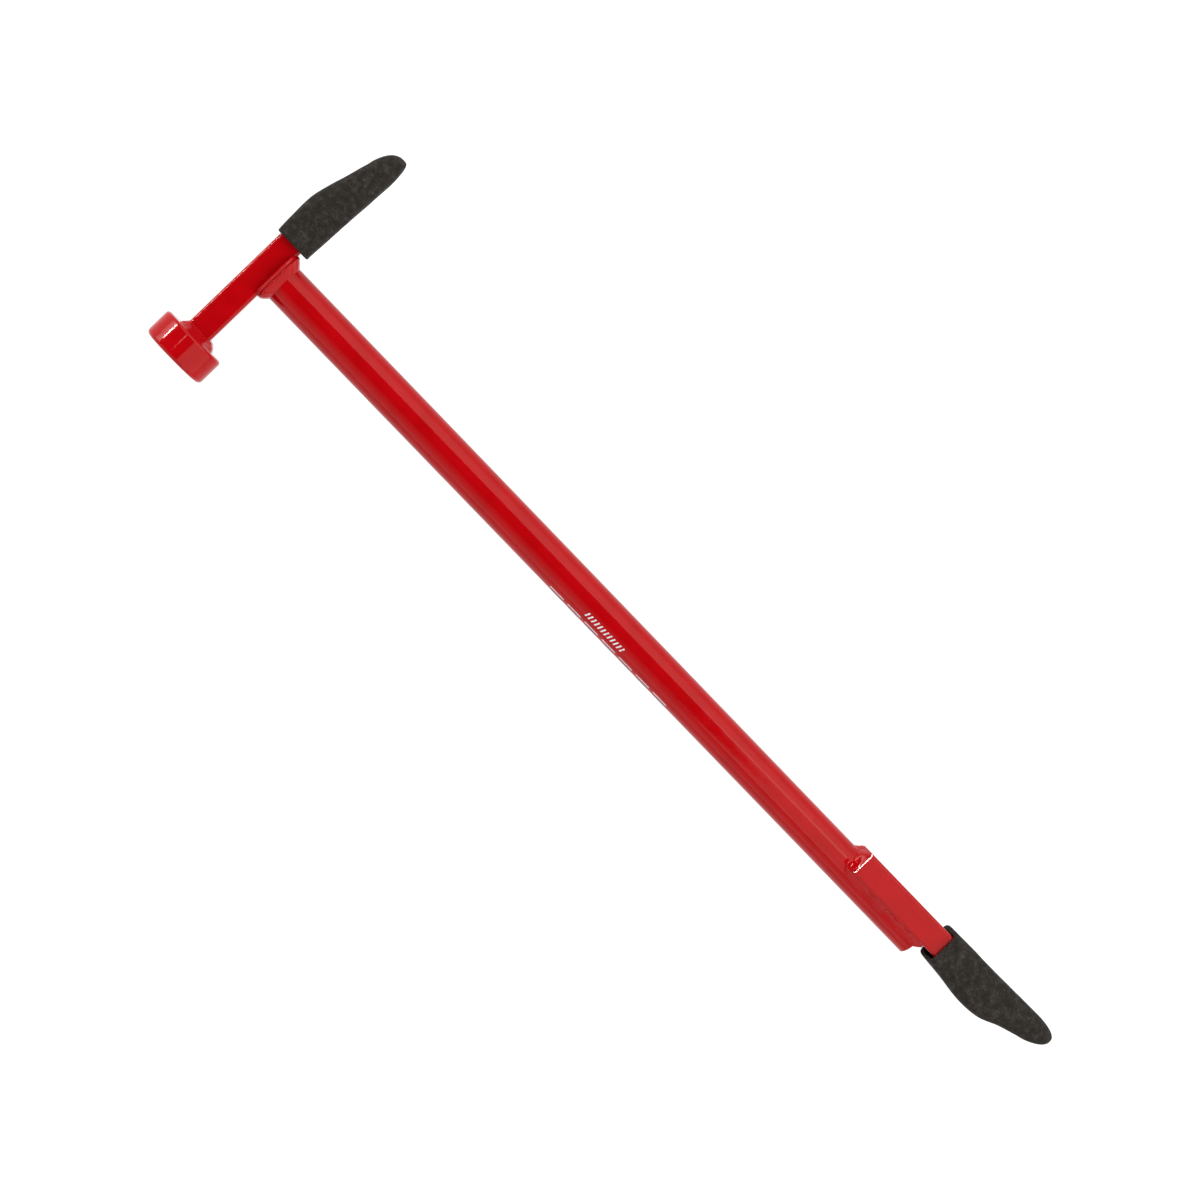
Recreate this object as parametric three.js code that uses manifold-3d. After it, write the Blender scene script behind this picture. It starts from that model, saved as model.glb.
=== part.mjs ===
// Two-ended striking and digging hand tool: a tubular steel handle with a square
// cross head (hammer disc and pick) at one end, a square chisel bar let into the
// other end, and a pull-off rubber cap over each point.
//
// Millimetres. While the parts are being made, the datum is the point where the
// handle's axis meets the head bar's axis:
//   +X runs down the handle, from the head to the chisel point,
//   +Y runs along the head bar, from the hammer disc to the pick,
//   +Z points up from the tool as it lies on its side.
// At the end the whole tool is moved so that the origin is under the middle of it.

import * as THREE from 'three';
import { mergeVertices } from 'three/addons/utils/BufferGeometryUtils.js';
import Module from 'manifold-3d';

const wasm = await Module();
wasm.setup();

// ---- Driving dimensions -----------------------------------------------------

const GAP = 0.3; // left between welded pieces, which really touch
const OVERLAP = 1; // how far shapes that are joined run into each other
const OVERSHOOT = 20; // how far a cutting shape runs past what it cuts
const ROUND_STEPS = 72; // facets round the handle and the disc
const ARC_STEPS = 6; // facets in each small corner radius

const TUBE_OD = 28.6; // 1 1/8 inch tube
const TUBE_WALL = 2.8;
const TUBE_R = TUBE_OD / 2;
const TUBE_END_X = 646;

const BAR = 19.05; // 3/4 inch square bar, for the head and the chisel
const BAR_HALF = BAR / 2;
const BAR_CORNER = 2.4;

const DISC_R = 25; // 50 mm round bar, sawn off and rounded
const DISC_THICK = 21.2;
const DISC_EDGE = 3.2;
const STRIKE_FACE_Y = -89.3;
const DISC_BACK_Y = STRIKE_FACE_Y + DISC_THICK;

const PICK_TIP_Y = 107;
const PICK_BEVEL_Y = 55; // where the long grind on the outer face starts
const PICK_CHEEK_Y = 62; // where the two side grinds start
const PICK_TIP_THICK = 4.9;
const PICK_TIP_HALF_WIDTH = 2.2;

const CHISEL_START_X = 575; // bar's upper end, at the middle of its height
const CHISEL_END_SLANT = 2.5; // how far the sawn end leans over its half height
const CHISEL_BEVEL_X = 712;
const CHISEL_TIP_X = 752;
const CHISEL_TIP_LOW = 14; // outline of the cutting edge, across the bar
const CHISEL_TIP_HIGH = 16;
const CHISEL_BACK_BEVEL_X = 738;

const PLATE_THICK = 3.2; // closing plate on the handle's lower end
const PLATE_EDGE = 1.8;

const HEAD_WELD_LEG = 7.4; // along the handle
const HEAD_WELD_RISE = 4.5; // out from the tube, at the sides
const HEAD_WELD_FLATTEN = 0.9; // the weld is lower in front and behind
const HEAD_RAMP = 2.8; // weld metal that laps on to the bar's flat

const DISC_WELD_ON_DISC = 6;
const DISC_WELD_ON_BAR = 6.5;
const DISC_WELD_CREST = 1; // thickness left where the run ends on the bar

const SEAM_LEG = 5; // the long welds beside the chisel bar
const SEAM_RISE = 4;
const SEAM_BULGE = 0.9;
const FRONT_SEAM_END_X = 650;
const SIDE_SEAM_END_X = 648;
const TOP_WELD_LEG = 7; // up the handle from the bar's sawn end
const TOP_WELD_RISE = 6.2;
const TOP_WELD_MARGIN = 0.5; // left between the run's ends and the bar's sides
const END_WELD_LEG = 4.5;
const END_WELD_REACH = TUBE_R - 2.2;

// A cap is described along its length from the mouth (u), across it from the
// bar's axis (v), and in depth (w). The bent side is at low v, the straight side
// at high v. Each station is [u, lowest v, highest v].
const CAP_LEAD = 12; // length made beyond the mouth and then cut off
const CAP_RINGS = 26;
const NOSE_RINGS = 7;
const CAP_SIDES = 40;
const CAP_WALL_GAP = 0.6; // clearance where the cap touches the bar
const CAP_SLACK = 2.1; // clearance on the other side of the bar
const CAP_MOUTH_HALF_DEPTH = 14;
const CAP_NOSE_HALF_DEPTH = 13;
const CAP_MOUTH_POWER = 6; // squareness of the section: 2 is round
const CAP_NOSE_POWER = 3.2;

const PICK_CAP = {
  stations: [
    [0, -12.4, 15],
    [15, -13, 15.6],
    [29, -13.1, 16.2],
    [36, -12.4, 16.4],
    [45, -10.3, 16.8],
    [61, -6.1, 17.6],
    [75, -2.4, 18.2],
  ],
  tip: [94.1, 12.5],
  lowPower: 1.2,
  highPower: 0.5,
  mouthSlant: 0,
  cavity: [
    [-CAP_LEAD - 1, -BAR_HALF - CAP_WALL_GAP],
    [31.5, -BAR_HALF - CAP_WALL_GAP],
    [85.6, 4],
    [85.6, BAR_HALF + CAP_SLACK],
    [-CAP_LEAD - 1, BAR_HALF + CAP_SLACK],
  ],
};
const PICK_CAP_MOUTH_Y = 22.15;

const CHISEL_CAP = {
  stations: [
    [0, -14.6, 13.8],
    [21, -16.6, 13.9],
    [37, -18.3, 13.9],
    [48, -18, 14],
    [57, -16.5, 14.2],
    [63, -14.1, 14.3],
    [69, -11.5, 14.5],
    [85, -6.4, 14.8],
  ],
  tip: [105.9, 6.8],
  lowPower: 1.8,
  highPower: 0.6,
  mouthSlant: 2.7,
  cavity: [
    [-CAP_LEAD - 1, -BAR_HALF - CAP_SLACK],
    [52, -BAR_HALF - CAP_SLACK],
    [95.4, 3.4],
    [95.4, BAR_HALF + CAP_WALL_GAP],
    [-CAP_LEAD - 1, BAR_HALF + CAP_WALL_GAP],
  ],
};
const CHISEL_CAP_MOUTH_X = 657.6;

// ---- Materials --------------------------------------------------------------

const redCoat = new THREE.MeshStandardMaterial({ color: 0xb1060f, roughness: 0.3, metalness: 0.0 });
const blackRubber = new THREE.MeshStandardMaterial({ color: 0x2b2927, roughness: 0.8, metalness: 0.0 });

// ---- Helpers ----------------------------------------------------------------

const X_AXIS = new THREE.Vector3(1, 0, 0);
const Y_AXIS = new THREE.Vector3(0, 1, 0);
const Z_AXIS = new THREE.Vector3(0, 0, 1);

// Turns a closed geometry into a solid that can be joined and cut.
function solid(geometry) {
  const bare = geometry.clone();
  bare.deleteAttribute('normal');
  bare.deleteAttribute('uv');
  const merged = mergeVertices(bare, 1e-4);
  const corners = merged.index.array;
  const kept = [];
  for (let i = 0; i < corners.length; i += 3) {
    const [a, b, c] = [corners[i], corners[i + 1], corners[i + 2]];
    if (a !== b && b !== c && c !== a) kept.push(a, b, c);
  }
  const vertProperties = new Float32Array(merged.attributes.position.array);
  const triVerts = new Uint32Array(kept);
  return new wasm.Manifold(new wasm.Mesh({ numProp: 3, vertProperties, triVerts }));
}

// Turns a solid back into a geometry.
function geometryOf(body) {
  const mesh = body.getMesh();
  const geometry = new THREE.BufferGeometry();
  geometry.setAttribute('position', new THREE.BufferAttribute(mesh.vertProperties, 3));
  geometry.setIndex(new THREE.BufferAttribute(mesh.triVerts, 1));
  geometry.computeVertexNormals();
  return geometry;
}

// A closed outline through points given as [a, b].
function outline(points) {
  return new THREE.Shape(points.map(([a, b]) => new THREE.Vector2(a, b)));
}

// Extrudes a shape along an axis. The shape's two coordinates are the next two
// axes in the order X, Y, Z, X, Y: so (y, z) along x, (z, x) along y, (x, y) along z.
function prism(shape, axis, from, to) {
  const settings = { depth: to - from, bevelEnabled: false, curveSegments: ARC_STEPS };
  const geometry = new THREE.ExtrudeGeometry(shape, settings);
  geometry.translate(0, 0, from);
  const turn = new THREE.Matrix4();
  if (axis === 'x') turn.makeBasis(Y_AXIS, Z_AXIS, X_AXIS);
  if (axis === 'y') turn.makeBasis(Z_AXIS, X_AXIS, Y_AXIS);
  geometry.applyMatrix4(turn);
  return solid(geometry);
}

// A box between two corners.
function block(low, high) {
  const size = high.map((value, i) => value - low[i]);
  const geometry = new THREE.BoxGeometry(...size);
  geometry.translate(...low.map((value, i) => value + size[i] / 2));
  return solid(geometry);
}

// A solid of revolution about the X axis, from [radius, x] points.
function turnedX(points) {
  const profile = points.map(([radius, x]) => new THREE.Vector2(radius, x));
  const geometry = new THREE.LatheGeometry(profile, ROUND_STEPS);
  geometry.rotateZ(-Math.PI / 2);
  return solid(geometry);
}

// A plain round bar along X.
function roundBar(radius, from, to) {
  return turnedX([[0, from], [radius, from], [radius, to], [0, to]]);
}

// Points of a quarter ellipse from [centreA + reachA, centreB] to [centreA, centreB + reachB].
function quarter(centreA, centreB, reachA, reachB, steps) {
  const points = [];
  for (let i = 0; i <= steps; i += 1) {
    const angle = (Math.PI / 2) * (i / steps);
    points.push([centreA + reachA * Math.cos(angle), centreB + reachB * Math.sin(angle)]);
  }
  return points;
}

// The square bar's section, with rounded corners, centred on (a, b).
function barSection(a, b) {
  const half = BAR_HALF;
  const flat = half - BAR_CORNER;
  const shape = new THREE.Shape();
  shape.moveTo(a + half, b - flat);
  shape.absarc(a + flat, b + flat, BAR_CORNER, 0, Math.PI / 2);
  shape.absarc(a - flat, b + flat, BAR_CORNER, Math.PI / 2, Math.PI);
  shape.absarc(a - flat, b - flat, BAR_CORNER, Math.PI, 1.5 * Math.PI);
  shape.absarc(a + flat, b - flat, BAR_CORNER, 1.5 * Math.PI, 2 * Math.PI);
  return shape;
}

const tool = new THREE.Group();

function addPart(name, body, material) {
  const mesh = new THREE.Mesh(geometryOf(body), material);
  mesh.name = name;
  tool.add(mesh);
  return mesh;
}

// ---- Handle -----------------------------------------------------------------

// The quarter of the handle's lower end that is cut away for the chisel bar.
function notch() {
  const reach = TUBE_R + OVERSHOOT;
  const top = CHISEL_START_X - CHISEL_END_SLANT - GAP;
  return block([top, -GAP, -GAP], [TUBE_END_X + OVERSHOOT, reach, reach]);
}

function handleTube() {
  const start = BAR_HALF + GAP;
  const outside = roundBar(TUBE_R, start, TUBE_END_X - PLATE_THICK - GAP);
  const bore = roundBar(TUBE_R - TUBE_WALL, start - OVERSHOOT, TUBE_END_X + OVERSHOOT);
  return outside.subtract(bore).subtract(notch());
}

function handleEndPlate() {
  const rounded = quarter(TUBE_R - PLATE_EDGE, TUBE_END_X - PLATE_EDGE, PLATE_EDGE, PLATE_EDGE, ARC_STEPS);
  const back = TUBE_END_X - PLATE_THICK;
  const plate = turnedX([[0, back], [TUBE_R, back], ...rounded, [0, TUBE_END_X]]);
  return plate.subtract(notch());
}

addPart('handle_tube', handleTube(), redCoat);
addPart('handle_end_plate', handleEndPlate(), redCoat);

// ---- Head: bar with the ground pick, and the hammer disc ---------------------

function headBar() {
  const start = DISC_BACK_Y + GAP;
  const before = start - OVERSHOOT;
  const reach = BAR_HALF + OVERSHOOT;
  const bar = prism(barSection(0, 0), 'y', start, PICK_TIP_Y);
  const sideView = outline([
    [-reach, before],
    [-reach, PICK_BEVEL_Y],
    [-BAR_HALF, PICK_BEVEL_Y],
    [BAR_HALF - PICK_TIP_THICK, PICK_TIP_Y],
    [reach, PICK_TIP_Y],
    [reach, before],
  ]);
  const topView = outline([
    [before, -reach],
    [PICK_CHEEK_Y, -BAR_HALF],
    [PICK_TIP_Y, -PICK_TIP_HALF_WIDTH],
    [PICK_TIP_Y, PICK_TIP_HALF_WIDTH],
    [PICK_CHEEK_Y, BAR_HALF],
    [before, reach],
  ]);
  const sideGrind = prism(sideView, 'z', -reach, reach);
  const cheekGrind = prism(topView, 'x', -reach, reach);
  return bar.intersect(sideGrind).intersect(cheekGrind);
}

function hammerDisc() {
  const rim = DISC_R - DISC_EDGE;
  const backArc = quarter(rim, DISC_BACK_Y - DISC_EDGE, DISC_EDGE, DISC_EDGE, ARC_STEPS);
  const frontArc = quarter(rim, STRIKE_FACE_Y + DISC_EDGE, DISC_EDGE, -DISC_EDGE, ARC_STEPS).reverse();
  const profile = [[0, STRIKE_FACE_Y], ...frontArc, ...backArc, [0, DISC_BACK_Y]];
  const points = profile.map(([radius, y]) => new THREE.Vector2(radius, y));
  return solid(new THREE.LatheGeometry(points, ROUND_STEPS));
}

addPart('head_bar', headBar(), redCoat);
addPart('hammer_disc', hammerDisc(), redCoat);

// ---- Chisel bar -------------------------------------------------------------

function chiselBar() {
  const reach = BAR + OVERSHOOT;
  const start = CHISEL_START_X - CHISEL_END_SLANT;
  const before = start - OVERSHOOT;
  const bar = prism(barSection(BAR_HALF, BAR_HALF), 'x', start, CHISEL_TIP_X);
  const faceView = outline([
    [before, -OVERSHOOT],
    [CHISEL_BEVEL_X, -OVERSHOOT],
    [CHISEL_BEVEL_X, 0],
    [CHISEL_TIP_X, CHISEL_TIP_LOW],
    [CHISEL_TIP_X, CHISEL_TIP_HIGH],
    [CHISEL_BACK_BEVEL_X, BAR],
    [CHISEL_BACK_BEVEL_X, reach],
    [before, reach],
  ]);
  const sawn = outline([
    [0, before],
    [0, start],
    [BAR, start + 2 * CHISEL_END_SLANT],
    [BAR, before],
  ]);
  const grind = prism(faceView, 'z', -OVERSHOOT, reach);
  return bar.intersect(grind).subtract(prism(sawn, 'y', -OVERSHOOT, reach));
}

addPart('chisel_bar', chiselBar(), redCoat);

// ---- Welds at the head ------------------------------------------------------

// A collar of weld round the handle where it meets the head bar, laid as one run
// in front and one behind.
function headWeld(side) {
  const start = BAR_HALF + GAP;
  const ellipse = quarter(TUBE_R, start, HEAD_WELD_RISE, HEAD_WELD_LEG, ARC_STEPS);
  const collar = turnedX([[0, start], ...ellipse, [0, start + HEAD_WELD_LEG]]);
  const flattened = collar.scale([1, 1, HEAD_WELD_FLATTEN]);
  const ramp = turnedX([
    [0, start - HEAD_RAMP],
    [BAR_HALF, start - HEAD_RAMP],
    [TUBE_R + OVERLAP, BAR_HALF - GAP],
    [TUBE_R + OVERLAP, start + GAP],
    [0, start + GAP],
  ]);
  const reach = TUBE_R + OVERSHOOT;
  const barRoom = block([-BAR, -reach, -BAR_HALF - GAP], [start, reach, BAR_HALF + GAP]);
  const tubeRoom = roundBar(TUBE_R + GAP, BAR_HALF, start + 2 * HEAD_WELD_LEG);
  const near = side > 0 ? GAP / 2 : -reach;
  const far = side > 0 ? reach : -GAP / 2;
  const half = block([-BAR, -reach, near], [BAR * 2, reach, far]);
  return flattened.add(ramp).subtract(barRoom).subtract(tubeRoom).intersect(half);
}

addPart('head_weld_front', headWeld(1), redCoat);
addPart('head_weld_rear', headWeld(-1), redCoat);

// Four runs of weld, one on each side of the head bar, at the disc's back face.
function discWeld(quarterTurns) {
  const inner = BAR_HALF + GAP;
  const bottom = DISC_BACK_Y + GAP;
  const corner = Math.SQRT2;
  const cone = new THREE.CylinderGeometry(
    (inner + DISC_WELD_CREST) * corner, (inner + DISC_WELD_ON_DISC) * corner, DISC_WELD_ON_BAR, 4);
  cone.rotateY(Math.PI / 4);
  cone.translate(0, bottom + DISC_WELD_ON_BAR / 2, 0);
  const reach = 2 * BAR;
  const barRoom = block([-inner, bottom - OVERSHOOT, -inner], [inner, bottom + OVERSHOOT, inner]);
  const wedge = outline([[GAP, 0], [reach, reach - GAP], [reach, GAP - reach]]);
  const geometry = new THREE.ExtrudeGeometry(wedge, { depth: reach, bevelEnabled: false });
  geometry.rotateX(-Math.PI / 2);
  geometry.translate(0, bottom - OVERLAP, 0);
  geometry.rotateY(quarterTurns * (Math.PI / 2));
  return solid(cone).subtract(barRoom).intersect(solid(geometry));
}

['inner', 'rear', 'outer', 'front'].forEach((side, i) => {
  addPart(`disc_weld_${side}`, discWeld(i), redCoat);
});

// ---- Welds at the chisel bar ------------------------------------------------

// The section of a long seam in the corner between the bar's side face (a = 0)
// and the round of the handle, as points [a, b].
function seamSection() {
  const radius = TUBE_R + GAP;
  const points = [];
  for (let i = 0; i <= ARC_STEPS; i += 1) {
    const a = -GAP - (SEAM_LEG * i) / ARC_STEPS;
    points.push([a, Math.sqrt(radius * radius - a * a)]);
  }
  const foot = points[points.length - 1];
  const crest = TUBE_R + SEAM_RISE;
  points.push([foot[0] / 2 - SEAM_BULGE, (foot[1] + crest) / 2 + SEAM_BULGE]);
  points.push([-GAP, crest]);
  return points;
}

function frontSeam() {
  return prism(outline(seamSection()), 'x', CHISEL_START_X, FRONT_SEAM_END_X);
}

function sideSeam() {
  const turned = seamSection().map(([a, b]) => [b, a]);
  return prism(outline(turned), 'x', CHISEL_START_X, SIDE_SEAM_END_X);
}

// Weld across the bar's sawn end, on the round of the handle.
function topWeld() {
  const toe = CHISEL_START_X - CHISEL_END_SLANT - GAP;
  const [before, after] = [toe - OVERSHOOT, toe + OVERSHOOT];
  const inside = TUBE_R + GAP;
  const crest = quarter(inside - OVERLAP, toe, TOP_WELD_RISE, -TOP_WELD_LEG, ARC_STEPS).reverse();
  const bead = turnedX([[0, toe - TOP_WELD_LEG], ...crest, [0, toe]]);
  const near = TOP_WELD_MARGIN;
  const far = BAR - TOP_WELD_MARGIN;
  const room = block([before, near, near], [after, far, far]);
  return bead.subtract(roundBar(inside, before, after)).intersect(room);
}

// Weld in the two corners between the bar and the closing plate: one arm beside
// the bar and one under it.
function endWeld() {
  const start = TUBE_END_X + GAP;
  const [before, after] = [start - OVERSHOOT, start + OVERSHOOT];
  const leg = END_WELD_LEG;
  const section = [[start, OVERLAP], [start + leg, OVERLAP], ...quarter(start, 0, leg, -leg, ARC_STEPS)];
  const turned = section.map(([x, out]) => [out, x]);
  const beside = prism(outline(section), 'z', -leg, END_WELD_REACH);
  const under = prism(outline(turned), 'y', -leg, END_WELD_REACH);
  const barRoom = block([before, -GAP, -GAP], [after, BAR, BAR]);
  return beside.add(under).subtract(barRoom).intersect(roundBar(END_WELD_REACH, before, after));
}

addPart('chisel_weld_front', frontSeam(), redCoat);
addPart('chisel_weld_side', sideSeam(), redCoat);
addPart('chisel_weld_top', topWeld(), redCoat);
addPart('chisel_weld_end', endWeld(), redCoat);

// ---- Rubber caps ------------------------------------------------------------

// The rings of a cap, from beyond the mouth to just short of the tip, each
// [u, lowest v, highest v, half depth, squareness].
function capRings(spec) {
  const [, mouthLow, mouthHigh] = spec.stations[0];
  const [noseU, noseLow, noseHigh] = spec.stations[spec.stations.length - 1];
  const [tipU, tipV] = spec.tip;
  const curve = new THREE.CatmullRomCurve3(spec.stations.map((station) => new THREE.Vector3(...station)));
  const rings = [[-CAP_LEAD, mouthLow, mouthHigh, CAP_MOUTH_HALF_DEPTH, CAP_MOUTH_POWER]];
  curve.getSpacedPoints(CAP_RINGS).forEach((point) => {
    const along = point.x / noseU;
    const depth = THREE.MathUtils.lerp(CAP_MOUTH_HALF_DEPTH, CAP_NOSE_HALF_DEPTH, along * along);
    const power = THREE.MathUtils.lerp(CAP_MOUTH_POWER, CAP_NOSE_POWER, along);
    rings.push([point.x, point.y, point.z, depth, power]);
  });
  for (let i = 1; i < NOSE_RINGS; i += 1) {
    const angle = (Math.PI / 2) * (i / NOSE_RINGS);
    const shrink = Math.cos(angle);
    const u = noseU + (tipU - noseU) * Math.sin(angle);
    const low = tipV + (noseLow - tipV) * shrink ** spec.lowPower;
    const high = tipV + (noseHigh - tipV) * shrink ** spec.highPower;
    rings.push([u, low, high, CAP_NOSE_HALF_DEPTH * shrink ** 0.8, CAP_NOSE_POWER]);
  }
  return rings;
}

// The cap's outer surface, closed flat beyond the mouth and in a point at the tip.
function capOuter(spec) {
  const rings = capRings(spec);
  const corners = [];
  rings.forEach(([u, low, high, depth, power]) => {
    for (let i = 0; i < CAP_SIDES; i += 1) {
      const angle = (2 * Math.PI * i) / CAP_SIDES;
      const across = Math.sign(Math.cos(angle)) * Math.abs(Math.cos(angle)) ** (2 / power);
      const deep = Math.sign(Math.sin(angle)) * Math.abs(Math.sin(angle)) ** (2 / power);
      corners.push(u, (low + high) / 2 + (across * (high - low)) / 2, deep * depth);
    }
  });
  const endCentre = corners.length / 3;
  corners.push(rings[0][0], 0, 0);
  corners.push(spec.tip[0], spec.tip[1], 0);
  const faces = [];
  for (let i = 0; i < CAP_SIDES; i += 1) {
    const next = (i + 1) % CAP_SIDES;
    faces.push(endCentre, next, i);
    for (let k = 0; k < rings.length - 1; k += 1) {
      const here = k * CAP_SIDES;
      const there = here + CAP_SIDES;
      faces.push(here + i, here + next, there + next, here + i, there + next, there + i);
    }
    const last = (rings.length - 1) * CAP_SIDES;
    faces.push(last + i, last + next, endCentre + 1);
  }
  const geometry = new THREE.BufferGeometry();
  geometry.setAttribute('position', new THREE.Float32BufferAttribute(corners, 3));
  geometry.setIndex(faces);
  return solid(geometry);
}

function cap(spec) {
  const lean = spec.mouthSlant;
  const reach = 2 * BAR;
  const shift = (lean * reach) / CAP_MOUTH_HALF_DEPTH;
  const cut = outline([[-reach, -reach], [reach, -reach], [reach, shift], [-reach, -shift]]);
  const mouth = prism(cut, 'y', -reach, reach);
  const depth = BAR_HALF + CAP_WALL_GAP;
  return capOuter(spec).subtract(mouth).subtract(prism(outline(spec.cavity), 'z', -depth, depth));
}

const pickCap = addPart('pick_cap', cap(PICK_CAP), blackRubber);
pickCap.position.set(0, PICK_CAP_MOUTH_Y, 0);
pickCap.rotation.set(Math.PI, 0, -Math.PI / 2);

const chiselCap = addPart('chisel_cap', cap(CHISEL_CAP), blackRubber);
chiselCap.position.set(CHISEL_CAP_MOUTH_X, BAR_HALF, BAR_HALF);

// ---- Origin: under the middle of the tool, as it lies on its side --------------

const box = new THREE.Box3().setFromObject(tool, true);
const middle = box.getCenter(new THREE.Vector3());
tool.position.set(-middle.x, -middle.y, -box.min.z);

export default tool;
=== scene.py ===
"""Looks for the two-ended striking and digging tool: powder-coated welded steel and two rubber caps.

The tool's sizes are in millimetres from a datum where the handle's axis meets the head bar's axis:
+X down the handle to the chisel, +Y along the head from the hammer disc to the pick, +Z up.
place() turns them into metres in the shared frame. Lights and floor are in metres.
"""
import math

import bmesh
import bpy
from mathutils import Matrix, Vector, noise


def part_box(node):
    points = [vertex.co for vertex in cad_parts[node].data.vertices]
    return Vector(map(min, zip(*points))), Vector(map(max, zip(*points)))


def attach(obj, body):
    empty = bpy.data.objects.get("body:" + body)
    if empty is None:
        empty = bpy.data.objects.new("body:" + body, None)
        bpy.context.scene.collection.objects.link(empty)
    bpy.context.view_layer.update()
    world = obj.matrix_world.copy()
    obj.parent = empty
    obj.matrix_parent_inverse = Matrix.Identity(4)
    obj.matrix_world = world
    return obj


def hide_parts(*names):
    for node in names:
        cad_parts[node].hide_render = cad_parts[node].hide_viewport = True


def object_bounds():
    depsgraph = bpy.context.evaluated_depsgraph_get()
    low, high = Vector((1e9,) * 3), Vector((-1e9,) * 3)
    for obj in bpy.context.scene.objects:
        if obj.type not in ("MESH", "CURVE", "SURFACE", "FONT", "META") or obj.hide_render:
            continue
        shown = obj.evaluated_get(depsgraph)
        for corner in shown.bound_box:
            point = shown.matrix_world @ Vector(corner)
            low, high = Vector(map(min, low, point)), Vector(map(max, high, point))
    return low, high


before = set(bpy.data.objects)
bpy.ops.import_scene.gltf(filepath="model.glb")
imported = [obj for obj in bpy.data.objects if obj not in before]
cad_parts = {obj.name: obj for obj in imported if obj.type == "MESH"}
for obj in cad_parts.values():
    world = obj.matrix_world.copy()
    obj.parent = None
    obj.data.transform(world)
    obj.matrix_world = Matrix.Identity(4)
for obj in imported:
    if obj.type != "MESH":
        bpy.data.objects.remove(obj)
CAD_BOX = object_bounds()

MM = 0.001
HEAD_LOW, HEAD_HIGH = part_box("head_bar")
TUBE_LOW, TUBE_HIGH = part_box("handle_tube")
DISC_LOW, DISC_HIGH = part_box("hammer_disc")
CHISEL_LOW, CHISEL_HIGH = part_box("chisel_bar")
PLATE_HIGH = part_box("handle_end_plate")[1]
PICK_CAP_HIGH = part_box("pick_cap")[1]
CHISEL_CAP_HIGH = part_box("chisel_cap")[1]

DATUM = Vector((
    (HEAD_LOW.x + HEAD_HIGH.x) / 2,
    (TUBE_LOW.y + TUBE_HIGH.y) / 2,
    (HEAD_LOW.z + HEAD_HIGH.z) / 2,
))


def local(point):
    """A point of the shared frame, as millimetres from the datum."""
    return (point - DATUM) / MM


def place(x, y, z):
    """Millimetres from the datum, as a point of the shared frame in metres."""
    return DATUM + Vector((x, y, z)) * MM


# ---- Sizes, in millimetres ------------------------------------------------------

TUBE_R = (TUBE_HIGH.y - TUBE_LOW.y) / 2 / MM
TUBE_WALL = 2.8
TUBE_START = local(TUBE_LOW).x - 0.2  # nearer the head bar than the CAD tube, which stops short of it
TUBE_END = local(PLATE_HIGH).x
NOTCH_GAP = 0.3  # between the chisel bar's sawn end and the notch in the tube
PLATE_THICK = 3.2
PLATE_EDGE = 2.0
BAR = (HEAD_HIGH.x - HEAD_LOW.x) / MM
HALF = BAR / 2
BAR_CORNER = 2.4  # radius of the four long corners
BAR_EDGE = 0.5  # rounding of the ground edges
DISC_R = (DISC_HIGH.z - DISC_LOW.z) / 2 / MM
DISC_FACE = local(DISC_LOW).y
DISC_BACK = local(DISC_HIGH).y
DISC_EDGE = 3.2
DISC_BACK_EDGE = 2.6
DISC_CROWN = 0.1
BAR_SUNK = 0.5  # how far the head bar goes into the disc
PICK_TIP = local(HEAD_HIGH).y
PICK_BEVEL_START = 55
PICK_CHEEK_START = 62
PICK_TIP_THICK = 4.9
PICK_TIP_HALF_WIDTH = 2.2
CHISEL_TIP = local(CHISEL_HIGH).x
CHISEL_START = local(CHISEL_LOW).x
CHISEL_END_LEAN = 5.0
CHISEL_CHAMFER = 0.9
CHISEL_CHAMFER_TILT = 40.6
CHISEL_BEVEL_START = 712
CHISEL_BACK_BEVEL_START = 738
CHISEL_EDGE_LOW = 14
CHISEL_EDGE_HIGH = 16
STEEL_LENGTH = 14  # bare ground steel at each point, hidden by the caps

ROUND = 192  # points round the handle and the disc
BAR_STEPS = 10  # steps round each corner of the square bars


# ---- Mesh helpers ----------------------------------------------------------------

def add_object(name, bm, body, sharp_degrees=32):
    """Turns a bmesh, in millimetres from the datum, into a smooth-shaded piece that rides on a body."""
    bmesh.ops.recalc_face_normals(bm, faces=bm.faces)
    for vertex in bm.verts:
        vertex.co = place(*vertex.co)
    mesh = bpy.data.meshes.new(name)
    bm.to_mesh(mesh)
    bm.free()
    mesh.shade_smooth()
    mesh.set_sharp_from_angle(angle=math.radians(sharp_degrees))
    piece = bpy.data.objects.new(name, mesh)
    bpy.context.scene.collection.objects.link(piece)
    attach(piece, body)
    return piece


def skin(rings, wrap=False, into=None):
    """A bmesh through closed rings of points. wrap joins the last ring to the first, and otherwise
    both ends are closed. into is a bmesh that takes the new faces as well."""
    bm = bmesh.new() if into is None else into
    rows = [[bm.verts.new(point) for point in ring] for ring in rings]
    count = len(rows[0])
    pairs = list(zip(rows, rows[1:]))
    if wrap:
        pairs.append((rows[-1], rows[0]))
    for here, there in pairs:
        for i in range(count):
            j = (i + 1) % count
            bm.faces.new((here[i], here[j], there[j], there[i]))
    if not wrap:
        bm.faces.new(rows[0])
        bm.faces.new(rows[-1])
    return bm


def lump(x, y, z, size, seed):
    """Smooth noise from -1 to 1, with features of about the given size in millimetres. Each seed reads
    another part of the same noise."""
    return noise.noise(Vector((x, y, z)) / size + Vector((seed * 17.3, seed * 5.1, seed * 9.7)))


def full_turn(count):
    """Angles all the way round, in equal steps."""
    return [2 * math.pi * i / count for i in range(count)]


def quarter_turn(steps):
    """Angles from nothing to a right angle, both ends included."""
    return [math.radians(90) * i / steps for i in range(steps + 1)]


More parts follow.
